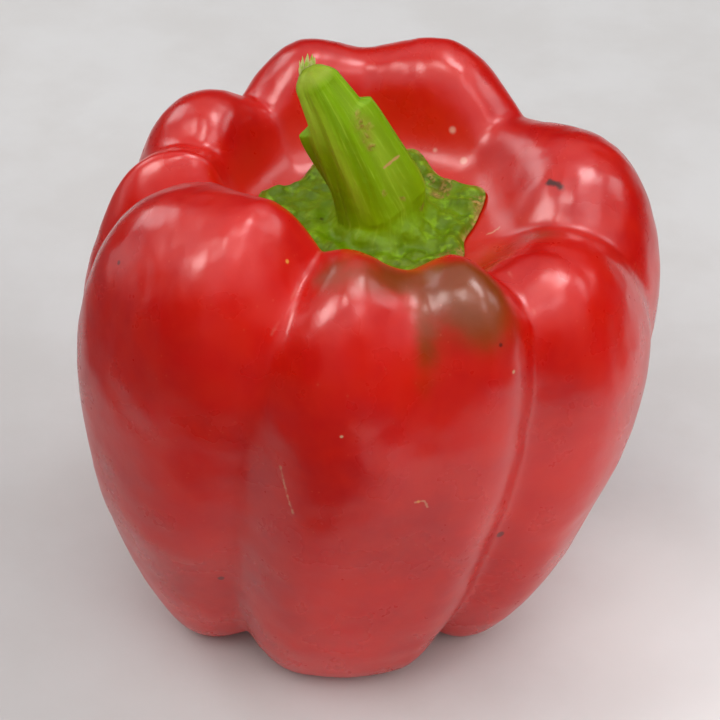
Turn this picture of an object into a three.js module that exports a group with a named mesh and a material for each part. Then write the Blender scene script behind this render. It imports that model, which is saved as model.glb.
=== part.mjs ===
// A ripe red bell pepper as picked, standing upright on the feet of its lobes.
// Two pieces: the fruit, and the green stalk with the star-shaped calyx at its base.
// Millimetres, +Z up. The feet stand on z = 0, and the middle of the outline is over the origin.
// Azimuths are in degrees, counter-clockwise from +X seen from above, so the front, -Y, is at 270.

import * as THREE from "three";

// Crown: the sunken floor in the top of the fruit, where the stalk grows
const FLOOR_RADIUS = 19;
const FLOOR_HEIGHT = 64.5;

// Underside: heights where the feet turn in from the sides and rise again, and the small dimple of the
// blossom end between them
const FOOT_TURN_HEIGHT = 2.5;
const INNER_FOOT_HEIGHT = 4;
const BLOSSOM_RADIUS = 5;
const BLOSSOM_HEIGHT = 6.5;

// Body: heights of the three rings round the sides, and the sideways lean of the axis
const UPPER_SIDE_HEIGHT = 48;
const LOWER_SIDE_HEIGHT = 32;
const LOW_HEIGHT = 16;
const LEAN = -4;
const LEAN_END_HEIGHT = 76;

// Middle of the outline seen from above, measured from the stalk's axis at the crown
const OUTLINE_MIDDLE = [0.3, -2.9];

// Lobes, counter-clockwise from the right: azimuth at the crest and at the foot, radius and height of
// the crest, radii of the shoulder, the side and the low side, and radius and height of the foot. The
// widest lobe, at the front left, takes two entries.
const LOBES = [
  { at: [6, 6], crest: [29, 73.5], shoulder: 42.6, side: 45, low: 38, foot: [22, -1.8] },
  { at: [70, 64], crest: [28, 77.5], shoulder: 35.5, side: 40, low: 34, foot: [20, -0.4] },
  { at: [110, 110], crest: [28, 77.5], shoulder: 36.5, side: 40, low: 34, foot: [20, -1.8] },
  { at: [150, 150], crest: [27, 76.5], shoulder: 38, side: 42, low: 36, foot: [20, -1.6] },
  { at: [177, 178], crest: [25, 73], shoulder: 36.5, side: 40, low: 36, foot: [22, -0.6] },
  { at: [209, 204], crest: [28.4, 80.5], shoulder: 46.4, side: 48.2, low: 40.2, foot: [27, -2.2] },
  { at: [238, 222], crest: [26, 83.5], shoulder: 44.8, side: 46.5, low: 39.8, foot: [27, -2.2] },
  { at: [281.5, 268], crest: [28.7, 77.7], shoulder: 42, side: 44, low: 38.3, foot: [26, -1.2] },
  { at: [329, 325], crest: [30, 70], shoulder: 44, side: 46.8, low: 39.5, foot: [24.5, -1.2] },
];

// How sharply one lobe gives way to the next
const LOBE_FOCUS = 9;

// Grooves between the lobes, and the shallow folds within them: azimuth at the crest and at the foot,
// reach in degrees to either side, softness of the bottom, and depth at each level down the fruit
const GROOVES = [
  { at: [41, 39], reach: [30, 28], soft: 0.18, crest: 6, shoulder: 6, side: 5, low: 5, foot: 5 },
  { at: [91, 90], reach: [25, 20], soft: 0.4, crest: 2, shoulder: 2.5, side: 2.5, low: 3, foot: 4 },
  { at: [128.5, 130], reach: [20, 22], soft: 0.16, crest: 6, shoulder: 5, side: 5, low: 5, foot: 5 },
  { at: [166, 166], reach: [14, 12], soft: 0.35, crest: 2, shoulder: 3, side: 2, low: 1, foot: 2 },
  { at: [187, 189], reach: [11, 26], soft: 0.16, crest: 6, shoulder: 5, side: 4, low: 4, foot: 5 },
  { at: [253, 238], reach: [20, 20], soft: 0.1, crest: 7.4, shoulder: 5.3, side: 5, low: 5, foot: 5 },
  { at: [282, 276], reach: [30, 19], soft: 0.4, crest: 4.4, shoulder: 3.5, side: 0.5, low: 0, foot: 0 },
  { at: [308, 299], reach: [14, 16], soft: 0.14, crest: 4, shoulder: 5, side: 4, low: 4.5, foot: 5 },
  { at: [346, 348], reach: [20, 20], soft: 0.16, crest: 4.5, shoulder: 2.2, side: 1.8, low: 2.5, foot: 4 },
];

// Control rings down the fruit: share of the way from the crest to the foot, the groove depth taken,
// how much of it goes inwards and how much downwards, and the radius and height between the grooves
const RINGS = [
  { share: 0, level: "crest", inwards: 0, down: 0, of: () => [0, FLOOR_HEIGHT - 1] },
  { share: 0, level: "crest", inwards: 0, down: 0, of: () => [FLOOR_RADIUS / 2, FLOOR_HEIGHT - 1] },
  { share: 0, level: "crest", inwards: 0, down: 0, of: () => [FLOOR_RADIUS, FLOOR_HEIGHT] },
  { share: 0, level: "crest", inwards: 0, down: 0.6, of: crownWall },
  { share: 0, level: "crest", inwards: 0.2, down: 1, of: (l) => [l.crest[0] - 1, l.crest[1] + 2.2] },
  { share: 0.05, level: "crest", inwards: 0.5, down: 1, of: crestToShoulder },
  { share: 0.2, level: "shoulder", inwards: 0.9, down: 0.4, of: (l) => [l.shoulder + 1.5, l.crest[1] - 12] },
  { share: 0.4, level: "side", inwards: 1, down: 0, of: (l) => [l.side + 0.5, UPPER_SIDE_HEIGHT] },
  { share: 0.6, level: "side", inwards: 1, down: 0, of: lowerSide },
  { share: 0.8, level: "low", inwards: 1, down: 0, of: (l) => [l.low, LOW_HEIGHT] },
  { share: 0.95, level: "foot", inwards: 0.8, down: -0.4, of: (l) => [l.foot[0] + 7, FOOT_TURN_HEIGHT] },
  { share: 1, level: "foot", inwards: 0.5, down: -1, of: (l) => [l.foot[0], l.foot[1] - 1] },
  { share: 1, level: "foot", inwards: 0.1, down: -0.3, of: (l) => [l.foot[0] / 2, INNER_FOOT_HEIGHT] },
  { share: 1, level: "foot", inwards: 0, down: 0, of: () => [BLOSSOM_RADIUS, BLOSSOM_HEIGHT] },
  { share: 1, level: "foot", inwards: 0, down: 0, of: () => [0, BLOSSOM_HEIGHT] },
];

// Mesh steps of the fruit
const FRUIT_SIDES = 96;
const FRUIT_ROWS = 42;

// Calyx: clearance over the fruit, azimuth and radius of each corner of the star, depth of the bays
// between them, and thickness of the flange, which thins out over a share of its radius at the edge
const SEAT_GAP = 0.4;
const CALYX_CORNERS = [
  { at: 20, radius: 18.9 },
  { at: 67, radius: 18.4 },
  { at: 113, radius: 17.3 },
  { at: 159, radius: 17.4 },
  { at: 203, radius: 16.8 },
  { at: 247, radius: 15.2 },
  { at: 290, radius: 15.4 },
  { at: 324, radius: 17.2 },
];
const CALYX_FOCUS = 14;
const CORNER_FOCUS = 40;
const BAY_DEPTH = 2.4;
const CALYX_THICKNESS = 1.5;
const EDGE_THICKNESS = 0.3;
const EDGE_SHARE = 0.97;
const EDGE_WIDTH = 0.1;

// Disc: the raised plate inside the flange, round the stem's root
const DISC_CENTRE = [2, 0.3];
const DISC_RADIUS = 9.6;
const DISC_HEIGHT = 1;
const DISC_STEP_WIDTH = 3;

// Flare: where the calyx's top starts to rise, as a share of the blend, the share of the calyx's radius
// that it keeps at the stem, and the shares of the stem's length between which the blend climbs
const FLARE_START = 0.5;
const FLARE_SHARE = 0.37;
const STEM_ROOT = 0.02;
const STEM_FOOT = 0.22;

// Stem: centres and radii from the base to the cut end, its ribs, and the ridges left by torn sheaths,
// which rise between two shares of the stem's length and break off at a third
const STEM_PATH = [[2, 0.3, 64.5], [0.5, 0.2, 69.5], [-1.6, 0, 75], [-4.4, 0.2, 81.6], [-7.6, 1, 88]];
const STEM_RADII = [7.2, 6.2, 5.4, 4.5, 3.2];
const STEM_RIBS = [{ count: 5, turn: 34, depth: 0.05 }, { count: 3, turn: 0, depth: 0.03 }];
const SHEATHS = [
  { at: 184, rise: [0.35, 0.78], end: 0.82, height: 1.9, width: 18 },
  { at: 8, rise: [0, 0.35], end: 0.84, height: 1.4, width: 26 },
  { at: 80, rise: [0, 0.35], end: 0.5, height: 0.7, width: 20 },
];
const SHEATH_END = 0.03;
const CUT_DOME = 2.3;

// Search for the fruit's surface under the calyx: control spans from the crown's middle to its crest,
// and how often they are halved
const CROWN_SPANS = 4;
const HALVINGS = 30;

// Mesh steps of the stalk
const STALK_SIDES = 64;
const UNDERSIDE_ROWS = 5;
const FLARE_ROWS = 13;
const STEM_ROWS = 14;
const CUT_ROWS = 4;

// Shared formulas
const radians = THREE.MathUtils.degToRad;
const { clamp, lerp } = THREE.MathUtils;

function ease(x) {
  const share = clamp(x, 0, 1);
  return share * share * (3 - 2 * share);
}

function angleBetween(azimuth, other) {
  return THREE.MathUtils.euclideanModulo(azimuth - other + 180, 360) - 180;
}

// Weights of several azimuths at one azimuth, which add up to 1
function weightsAt(azimuth, azimuths, focus) {
  const raw = azimuths.map((a) => Math.exp(focus * (Math.cos(radians(azimuth - a)) - 1)));
  const sum = raw.reduce((total, weight) => total + weight, 0);
  return raw.map((weight) => weight / sum);
}

// Uniform cubic B-spline through a list of [radius, height], at t from 0 to the number of spans
function splineAt(points, t) {
  const span = Math.min(Math.floor(t), points.length - 4);
  const f = t - span;
  const weights = [(1 - f) ** 3, 3 * f ** 3 - 6 * f ** 2 + 4, -3 * f ** 3 + 3 * f ** 2 + 3 * f + 1, f ** 3];
  return [0, 1].map((axis) => weights.reduce((sum, w, i) => sum + (w * points[span + i][axis]) / 6, 0));
}

// A point of the fruit or the calyx: the axis leans, so low points shift sideways
function place(azimuth, radius, height) {
  const x = radius * Math.cos(radians(azimuth)) + LEAN * (1 - height / LEAN_END_HEIGHT);
  return new THREE.Vector3(x, radius * Math.sin(radians(azimuth)), height);
}

// Closed surface through rows of points, from the lower pole to the upper one
function loft(lowerPole, rows, upperPole) {
  const sides = rows[0].length;
  const points = [lowerPole, ...rows.flat(), upperPole];
  const top = points.length - 1;
  const index = [];
  for (let side = 0; side < sides; side += 1) {
    const next = (side + 1) % sides;
    index.push(0, 1 + next, 1 + side);
    for (let row = 0; row < rows.length - 1; row += 1) {
      const low = 1 + row * sides;
      const high = low + sides;
      index.push(low + side, low + next, high + next);
      index.push(low + side, high + next, high + side);
    }
    const last = top - sides;
    index.push(top, last + side, last + next);
  }
  const geometry = new THREE.BufferGeometry().setFromPoints(points);
  geometry.setIndex(index);
  geometry.computeVertexNormals();
  return geometry;
}

// Fruit: lobe shape at one azimuth
function lobesAt(azimuth, share) {
  const weights = weightsAt(azimuth, LOBES.map((l) => lerp(l.at[0], l.at[1], share)), LOBE_FOCUS);
  const mix = (read) => LOBES.reduce((sum, l, i) => sum + weights[i] * read(l), 0);
  return {
    crest: [mix((l) => l.crest[0]), mix((l) => l.crest[1])],
    shoulder: mix((l) => l.shoulder),
    side: mix((l) => l.side),
    low: mix((l) => l.low),
    foot: [mix((l) => l.foot[0]), mix((l) => l.foot[1])],
  };
}

// Fruit: depth of the grooves at one azimuth, each a V with a soft bottom and soft edges
function grooveDepth(azimuth, share, level) {
  return GROOVES.reduce((sum, g) => {
    const away = angleBetween(azimuth, lerp(g.at[0], g.at[1], share));
    const reach = away < 0 ? g.reach[0] : g.reach[1];
    const rise = Math.sin((clamp(Math.abs(away) / reach, 0, 1) * Math.PI) / 2);
    const wall = (Math.hypot(rise, g.soft) - g.soft) / (Math.hypot(1, g.soft) - g.soft);
    return sum + g[level] * (1 - wall);
  }, 0);
}

// Fruit: the inner wall of the crown, the bend from crest to shoulder, and the lower side
function crownWall(lobe) {
  return [(FLOOR_RADIUS + lobe.crest[0]) / 2 - 1, lobe.crest[1] - 2];
}

function crestToShoulder(lobe) {
  return [(lobe.crest[0] + lobe.shoulder) / 2 + 3, lobe.crest[1] + 0.5];
}

function lowerSide(lobe) {
  return [lerp(lobe.side, lobe.low, 0.45), LOWER_SIDE_HEIGHT];
}

// Fruit: control points at one azimuth, mirrored past both ends so that the poles are smooth
function meridian(azimuth) {
  const points = RINGS.map((ring) => {
    const [radius, height] = ring.of(lobesAt(azimuth, ring.share));
    const depth = grooveDepth(azimuth, ring.share, ring.level);
    return [radius - ring.inwards * depth, height - ring.down * depth];
  });
  const mirror = ([radius, height]) => [-radius, height];
  return [mirror(points[1]), ...points, mirror(points.at(-2))];
}

function fruitPoint(azimuth, points, t) {
  const [radius, height] = splineAt(points, t);
  return place(azimuth, radius, Math.max(height, 0));
}

function fruitGeometry() {
  const spans = RINGS.length - 1;
  const azimuths = Array.from({ length: FRUIT_SIDES }, (_, side) => (side * 360) / FRUIT_SIDES);
  const meridians = azimuths.map(meridian);
  const rows = [];
  for (let row = 1; row < FRUIT_ROWS; row += 1) {
    const t = spans * (1 - row / FRUIT_ROWS);
    rows.push(azimuths.map((azimuth, side) => fruitPoint(azimuth, meridians[side], t)));
  }
  return loft(fruitPoint(0, meridians[0], spans), rows, fruitPoint(0, meridians[0], 0));
}

// Calyx: height of the fruit's surface under one of its points, found by halving within the crown
function seatHeight(points, radius) {
  let inner = 0;
  let outer = CROWN_SPANS;
  for (let step = 0; step < HALVINGS; step += 1) {
    const middle = (inner + outer) / 2;
    if (splineAt(points, middle)[0] < radius) {
      inner = middle;
    } else {
      outer = middle;
    }
  }
  return splineAt(points, inner)[1];
}

// Calyx: radius of its star-shaped edge
function calyxRadius(azimuth) {
  const weights = weightsAt(azimuth, CALYX_CORNERS.map((c) => c.at), CALYX_FOCUS);
  const corner = CALYX_CORNERS.reduce((sum, c, i) => sum + weights[i] * c.radius, 0);
  const closest = Math.min(...CALYX_CORNERS.map((c) => Math.abs(angleBetween(azimuth, c.at))));
  return corner - BAY_DEPTH * (1 - Math.exp(CORNER_FOCUS * (Math.cos(radians(closest)) - 1)));
}

// Calyx: points of its underside at a share of its radius, raised by a thickness
function calyxRow(azimuths, meridians, share, thickness) {
  return azimuths.map((azimuth, side) => {
    const radius = calyxRadius(azimuth) * share;
    return place(azimuth, radius, seatHeight(meridians[side], radius) + SEAT_GAP + thickness);
  });
}

// Calyx: its top, thin at the edge, with a step up to the disc
function calyxTopRow(azimuths, meridians, share) {
  const flange = lerp(EDGE_THICKNESS, CALYX_THICKNESS, ease((1 - share) / EDGE_WIDTH));
  return calyxRow(azimuths, meridians, share, flange).map((point) => {
    const inside = DISC_RADIUS - Math.hypot(point.x - DISC_CENTRE[0], point.y - DISC_CENTRE[1]);
    const disc = DISC_HEIGHT * ease(inside / DISC_STEP_WIDTH);
    return point.setZ(point.z + disc);
  });
}

// Stem: centre line and radius at a share of its length
const stemCentres = STEM_PATH.map((centre) => new THREE.Vector3(...centre));
const stemCurve = new THREE.CatmullRomCurve3(stemCentres, false, "catmullrom");

function stemRadius(share) {
  const along = share * (STEM_RADII.length - 1);
  const piece = Math.min(Math.floor(along), STEM_RADII.length - 2);
  return lerp(STEM_RADII[piece], STEM_RADII[piece + 1], along - piece);
}

// Stem: share by which its ribs widen it at one azimuth
function ribs(azimuth) {
  const wave = (rib) => rib.depth * Math.cos(radians(rib.count * azimuth + rib.turn));
  return STEM_RIBS.reduce((sum, rib) => sum + wave(rib), 0);
}

// Stem: how far the torn sheaths stand out from it, each blunt at its upper end
function sheathHeight(azimuth, share) {
  return SHEATHS.reduce((sum, sheath) => {
    const [root, crest] = sheath.rise;
    const round = Math.exp(-((angleBetween(azimuth, sheath.at) / sheath.width) ** 2));
    const lengthwise = ease((share - root) / (crest - root)) * ease((sheath.end - share) / SHEATH_END);
    return sum + sheath.height * round * lengthwise;
  }, 0);
}

function stemRow(azimuths, share, scale, lift) {
  const along = stemCurve.getTangent(share);
  const across = new THREE.Vector3(1, 0, 0).projectOnPlane(along).normalize();
  const aside = new THREE.Vector3().crossVectors(along, across);
  return azimuths.map((azimuth) => {
    const radius = scale * (stemRadius(share) * (1 + ribs(azimuth)) + sheathHeight(azimuth, share));
    return stemCurve.getPoint(share)
      .addScaledVector(across, radius * Math.cos(radians(azimuth)))
      .addScaledVector(aside, radius * Math.sin(radians(azimuth)))
      .addScaledVector(along, lift);
  });
}

// Stalk: from the calyx's top at s = 0 to the stem's foot at s = 1
function flareRow(azimuths, meridians, s) {
  const calyx = calyxTopRow(azimuths, meridians, lerp(EDGE_SHARE, FLARE_SHARE, s));
  const stem = stemRow(azimuths, lerp(STEM_ROOT, STEM_FOOT, s), 1, 0);
  const blend = ease((s - FLARE_START) / (1 - FLARE_START));
  return calyx.map((point, side) => point.lerp(stem[side], blend));
}

function stalkGeometry() {
  const azimuths = Array.from({ length: STALK_SIDES }, (_, side) => (side * 360) / STALK_SIDES);
  const meridians = azimuths.map(meridian);
  const steps = (count) => Array.from({ length: count }, (_, step) => (step + 1) / count);
  const underside = place(0, 0, seatHeight(meridians[0], 0) + SEAT_GAP);
  const cutEnd = stemCurve.getPoint(1).addScaledVector(stemCurve.getTangent(1), CUT_DOME);
  const rows = [
    ...steps(UNDERSIDE_ROWS).map((s) => calyxRow(azimuths, meridians, EDGE_SHARE * s, 0)),
    calyxRow(azimuths, meridians, 1, EDGE_THICKNESS),
    ...steps(FLARE_ROWS).map((s) => flareRow(azimuths, meridians, s - 1 / FLARE_ROWS)),
    ...steps(STEM_ROWS).map((s) => stemRow(azimuths, lerp(STEM_FOOT, 1, s), 1, 0)),
    ...steps(CUT_ROWS).slice(0, -1).map((s) => stemRow(azimuths, 1, Math.sqrt(1 - s ** 2), CUT_DOME * s)),
  ];
  return loft(underside, rows, cutEnd);
}

// The two pieces, each with its own surface
function piece(name, geometry, color, roughness) {
  const surface = new THREE.MeshStandardMaterial({ color, roughness, metalness: 0 });
  const mesh = new THREE.Mesh(geometry, surface);
  mesh.name = name;
  return mesh;
}

const pepper = new THREE.Group();
pepper.add(piece("fruit", fruitGeometry(), 0xb3201a, 0.22));
pepper.add(piece("stalk", stalkGeometry(), 0x6f8424, 0.6));
pepper.position.set(-OUTLINE_MIDDLE[0], -OUTLINE_MIDDLE[1], 0);

export default pepper;
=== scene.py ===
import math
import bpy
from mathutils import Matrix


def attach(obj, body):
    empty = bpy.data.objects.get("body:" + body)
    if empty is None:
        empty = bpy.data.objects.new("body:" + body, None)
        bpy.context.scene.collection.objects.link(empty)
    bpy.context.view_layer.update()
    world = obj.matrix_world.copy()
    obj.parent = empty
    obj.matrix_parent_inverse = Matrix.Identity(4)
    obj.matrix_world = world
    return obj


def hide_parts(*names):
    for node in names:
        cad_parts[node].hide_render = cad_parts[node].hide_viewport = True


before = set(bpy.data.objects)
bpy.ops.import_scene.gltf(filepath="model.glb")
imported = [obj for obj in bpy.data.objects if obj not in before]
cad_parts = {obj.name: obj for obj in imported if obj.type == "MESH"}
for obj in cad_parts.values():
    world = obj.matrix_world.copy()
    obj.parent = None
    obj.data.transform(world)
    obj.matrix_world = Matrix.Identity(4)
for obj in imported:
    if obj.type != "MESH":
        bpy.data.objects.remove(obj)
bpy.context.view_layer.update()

# The finished look of a ripe red bell pepper: the fruit, the stalk, the floor, the lights and the camera.
# Sizes are in millimetres until a mesh is made. Azimuths are in degrees, counter-clockwise from +X seen
# from above, so the front, -Y, is at 270. `down` counts the control spans along the fruit's surface, from
# the middle of the crown at 0 over the crest at about 3.5 to the blossom end at 14.

from types import SimpleNamespace

import bpy
import numpy as np
from mathutils import Vector

MM = 0.001

# Fruit: the shape of the construction, with the same named values
FLOOR_RADIUS = 19
FLOOR_HEIGHT = 64.5
FOOT_TURN_HEIGHT = 2.5
INNER_FOOT_HEIGHT = 4
BLOSSOM_RADIUS = 5
BLOSSOM_HEIGHT = 6.5
UPPER_SIDE_HEIGHT = 48
LOWER_SIDE_HEIGHT = 32
LOW_HEIGHT = 16
LEAN = -4
LEAN_END_HEIGHT = 76
OUTLINE_MIDDLE = (0.3, -2.9)
LOBE_FOCUS = 9

# Lobes: azimuth at the crest and at the foot, radius and height of the crest, radii of the shoulder,
# the side and the low side, and radius and height of the foot
LOBES = [
    (6, 6, 29, 73.5, 42.6, 45, 38, 22, -1.8),
    (70, 64, 28, 77.5, 35.5, 40, 34, 20, -0.4),
    (110, 110, 28, 77.5, 36.5, 40, 34, 20, -1.8),
    (150, 150, 27, 76.5, 38, 42, 36, 20, -1.6),
    (177, 178, 25, 73, 36.5, 40, 36, 22, -0.6),
    (209, 204, 28.4, 80.5, 46.4, 48.2, 40.2, 27, -2.2),
    (238, 222, 26, 83.5, 44.8, 46.5, 39.8, 27, -2.2),
    (281.5, 268, 28.7, 77.7, 42, 44, 38.3, 26, -1.2),
    (329, 325, 30, 70, 44, 46.8, 39.5, 24.5, -1.2),
]

# Grooves: azimuth at the crest and at the foot, reach to either side, softness of the bottom, and the
# depths at the crest, the shoulder, the side, the low side and the foot
GROOVES = [
    (41, 39, 30, 28, 0.18, (6, 6, 5, 5, 5)),
    (91, 90, 25, 20, 0.4, (2, 2.5, 2.5, 3, 4)),
    (128.5, 130, 20, 22, 0.16, (6, 5, 5, 5, 5)),
    (166, 166, 14, 12, 0.35, (2, 3, 2, 1, 2)),
    (187, 189, 11, 26, 0.16, (6, 5, 4, 4, 5)),
    (253, 238, 20, 20, 0.1, (7.4, 5.3, 5, 5, 5)),
    (282, 276, 30, 19, 0.4, (4.4, 3.5, 0.5, 0, 0)),
    (308, 299, 14, 16, 0.14, (4, 5, 4, 4.5, 5)),
    (346, 348, 20, 20, 0.16, (4.5, 2.2, 1.8, 2.5, 4)),
]
CREST, SHOULDER, SIDE, LOW, FOOT = range(5)

# Control rings down the fruit: share of the way from the crest to the foot, the groove depth taken, how
# much of it goes inwards and how much downwards, and the radius and height between the grooves
RINGS = [
    (0, CREST, 0, 0, lambda lobe: (0, FLOOR_HEIGHT - 1)),
    (0, CREST, 0, 0, lambda lobe: (FLOOR_RADIUS / 2, FLOOR_HEIGHT - 1)),
    (0, CREST, 0, 0, lambda lobe: (FLOOR_RADIUS, FLOOR_HEIGHT)),
    (0, CREST, 0, 0.6, lambda lobe: ((FLOOR_RADIUS + lobe.crest) / 2 - 1, lobe.crest_height - 2)),
    (0, CREST, 0.2, 1, lambda lobe: (lobe.crest - 1, lobe.crest_height + 2.2)),
    (0.05, CREST, 0.5, 1, lambda lobe: ((lobe.crest + lobe.shoulder) / 2 + 3, lobe.crest_height + 0.5)),
    (0.2, SHOULDER, 0.9, 0.4, lambda lobe: (lobe.shoulder + 1.5, lobe.crest_height - 12)),
    (0.4, SIDE, 1, 0, lambda lobe: (lobe.side + 0.5, UPPER_SIDE_HEIGHT)),
    (0.6, SIDE, 1, 0, lambda lobe: (0.55 * lobe.side + 0.45 * lobe.low, LOWER_SIDE_HEIGHT)),
    (0.8, LOW, 1, 0, lambda lobe: (lobe.low, LOW_HEIGHT)),
    (0.95, FOOT, 0.8, -0.4, lambda lobe: (lobe.foot + 7, FOOT_TURN_HEIGHT)),
    (1, FOOT, 0.5, -1, lambda lobe: (lobe.foot, lobe.foot_height - 1)),
    (1, FOOT, 0.1, -0.3, lambda lobe: (lobe.foot / 2, INNER_FOOT_HEIGHT)),
    (1, FOOT, 0, 0, lambda lobe: (BLOSSOM_RADIUS, BLOSSOM_HEIGHT)),
    (1, FOOT, 0, 0, lambda lobe: (0, BLOSSOM_HEIGHT)),
]
SPANS = len(RINGS) - 1

# Calyx and stem: the shape of the construction, with the same named values. Here the calyx rests closer
# and the cut end is a little higher.
SEAT_GAP = 0.1
SEAT_SEARCH_END = 4.0
SEAT_SEARCH_STEPS = 30
CALYX_CORNERS = [
    (20, 18.9), (67, 18.4), (113, 17.3), (159, 17.4), (203, 16.8), (247, 15.2), (290, 15.4), (324, 17.2),
]
CALYX_FOCUS = 14
CORNER_FOCUS = 40
BAY_DEPTH = 2.4
CALYX_THICKNESS = 1.5
EDGE_THICKNESS = 0.3
EDGE_SHARE = 0.97
EDGE_WIDTH = 0.1
DISC_CENTRE = (2, 0.3)
DISC_RADIUS = 9.6
DISC_HEIGHT = 1
DISC_STEP_WIDTH = 3
FLARE_START = 0.5
FLARE_SHARE = 0.37
STEM_ROOT = 0.02
STEM_FOOT = 0.22
STEM_PATH = [(2, 0.3, 64.5), (0.5, 0.2, 69.5), (-1.6, 0, 75), (-4.4, 0.2, 81.6), (-7.6, 1, 88)]
STEM_RADII = [7.2, 6.2, 5.4, 4.5, 3.2]
STEM_RIBS = [(5, 34, 0.05), (3, 0, 0.03)]
SHEATHS = [(184, 0.35, 0.78, 0.82, 1.9, 18), (8, 0, 0.35, 0.84, 1.4, 26), (80, 0, 0.35, 0.5, 0.7, 20)]
SHEATH_END = 0.03
CUT_DOME = 2.7

# Mesh steps
FRUIT_SIDES = 600
FRUIT_ROWS = 364
STALK_SIDES = 320
CUT_ROWS = 16
STEM_ROWS = 120
FLARE_ROWS = 90
EDGE_ROWS = 6
EDGE_FADE_ROWS = 14
UNDERSIDE_ROWS = 14


# Formulas

def ease(x):
    share = np.clip(x, 0, 1)
    return share * share * (3 - 2 * share)


def fade(value, start, end):
    """0 at the start and 1 at the end, and smooth between them."""
    return ease((value - start) / (end - start))


def angle_between(azimuth, other):
    return (azimuth - other + 180) % 360 - 180


def circle(sides):
    return np.arange(sides) * 360 / sides


def weights_at(azimuths, centres, focus):
    """How much each centre counts at each azimuth, adding up to 1."""
    weights = np.exp(focus * (np.cos(np.radians(azimuths[:, None] - centres)) - 1))
    return weights / weights.sum(axis=1, keepdims=True)


def waves(points, wavelengths, count, seed):
    """Smooth random relief of about -1 to 1: sine waves in directions from a seeded draw."""
    draw = np.random.default_rng(seed)
    directions = draw.normal(size=(count, 3))
    directions /= np.linalg.norm(directions, axis=1, keepdims=True)
    frequencies = 2 * math.pi / draw.uniform(*wavelengths, size=count)
    phases = draw.uniform(0, 2 * math.pi, size=count)
    total = np.zeros(points.shape[:-1])
    for direction, frequency, phase in zip(directions, frequencies, phases):
        total += np.sin(points @ direction * frequency + phase)
    return total / math.sqrt(count)


# Fruit: its smooth surface

def lobes_at(azimuths, share):
    """Radii and heights of the lobes at each azimuth, mixed from one lobe to the next."""
    table = np.array(LOBES, float)
    centres = table[:, 0] + (table[:, 1] - table[:, 0]) * share
    values = (weights_at(azimuths, centres, LOBE_FOCUS) @ table[:, 2:]).T
    names = ("crest", "crest_height", "shoulder", "side", "low", "foot", "foot_height")
    return SimpleNamespace(**dict(zip(names, values)))


def groove_depth(azimuths, share, level):
    """Depth of the grooves at each azimuth, each a V with a soft bottom and soft edges."""
    total = np.zeros(len(azimuths))
    for crest_at, foot_at, reach_before, reach_after, soft, depths in GROOVES:
        away = angle_between(azimuths, crest_at + (foot_at - crest_at) * share)
        reach = np.where(away < 0, reach_before, reach_after)
        rise = np.sin(np.clip(np.abs(away) / reach, 0, 1) * math.pi / 2)
        wall = (np.hypot(rise, soft) - soft) / (math.hypot(1, soft) - soft)
        total += depths[level] * (1 - wall)
    return total


def meridians(azimuths):
    """Control points of the surface at each azimuth, mirrored past both ends so the poles are smooth."""
    rings = []
    for share, level, inwards, down, outline in RINGS:
        radius, height = outline(lobes_at(azimuths, share))
        depth = groove_depth(azimuths, share, level)
        rings.append(np.stack([radius - inwards * depth, height - down * depth], axis=1))
    mirror = np.array([-1, 1])
    return np.array([rings[1] * mirror, *rings, rings[-2] * mirror])


def spline_at(controls, down):
    """Radius and height at each azimuth, at one place or one place per azimuth along the meridians."""
    down = np.broadcast_to(down, controls.shape[1])
    span = np.minimum(down.astype(int), SPANS - 1)
    f = (down - span)[:, None]
    weights = ((1 - f) ** 3, 3 * f**3 - 6 * f**2 + 4, -3 * f**3 + 3 * f**2 + 3 * f + 1, f**3)
    column = np.arange(controls.shape[1])
    return sum(weight * controls[span + i, column] for i, weight in enumerate(weights)) / 6


def place(azimuths, radius, height):
    """Points of the fruit or the calyx: the axis leans, so low points shift sideways."""
    angle = np.radians(azimuths)
    x = radius * np.cos(angle) + LEAN * (1 - height / LEAN_END_HEIGHT)
    return np.stack([x, radius * np.sin(angle), height], axis=-1)


# Meshes from rows of points

def in_frame(points):
    """Points in metres, with the middle of the outline over the origin."""
    return (points - (*OUTLINE_MIDDLE, 0)) * MM


def row_normals(rows):
    """Outward normals of a grid of rows that run from the top down."""
    around = np.roll(rows, -1, axis=1) - np.roll(rows, 1, axis=1)
    normals = np.cross(np.gradient(rows, axis=0), around)
    return normals / np.maximum(np.linalg.norm(normals, axis=2, keepdims=True), 1e-9)


def closed_mesh(name, rows, values):
    """A closed piece through rows of points from the top down, whose first and last rows are single
    points, with named values kept at every vertex for its material."""
    count, sides = rows.shape[:2]
    inner = rows[1:-1].reshape(-1, 3)
    points = np.vstack([rows[0, :1], inner, rows[-1, :1]])
    side = np.arange(sides)
    after = (side + 1) % sides
    last = len(points) - 1
    faces = [(0, 1 + a, 1 + b) for a, b in zip(side, after)]
    for row in range(count - 3):
        high = 1 + row * sides
        low = high + sides
        faces.extend(zip(high + side, low + side, low + after, high + after))
    faces.extend((last, last - sides + b, last - sides + a) for a, b in zip(side, after))
    mesh = bpy.data.meshes.new(name)
    mesh.from_pydata(points.tolist(), [], [tuple(map(int, face)) for face in faces])
    for key, grid in values.items():
        kind, field = ("FLOAT_VECTOR", "vector") if grid.ndim == 3 else ("FLOAT", "value")
        flat = np.concatenate([grid[0, :1], grid[1:-1].reshape(-1, *grid.shape[2:]), grid[-1, :1]])
        attribute = mesh.attributes.new(key, kind, "POINT")
        attribute.data.foreach_set(field, flat.astype(np.float32).ravel())
    mesh.shade_smooth()
    piece = bpy.data.objects.new(name, mesh)
    bpy.context.scene.collection.objects.link(piece)
    return piece


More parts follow.
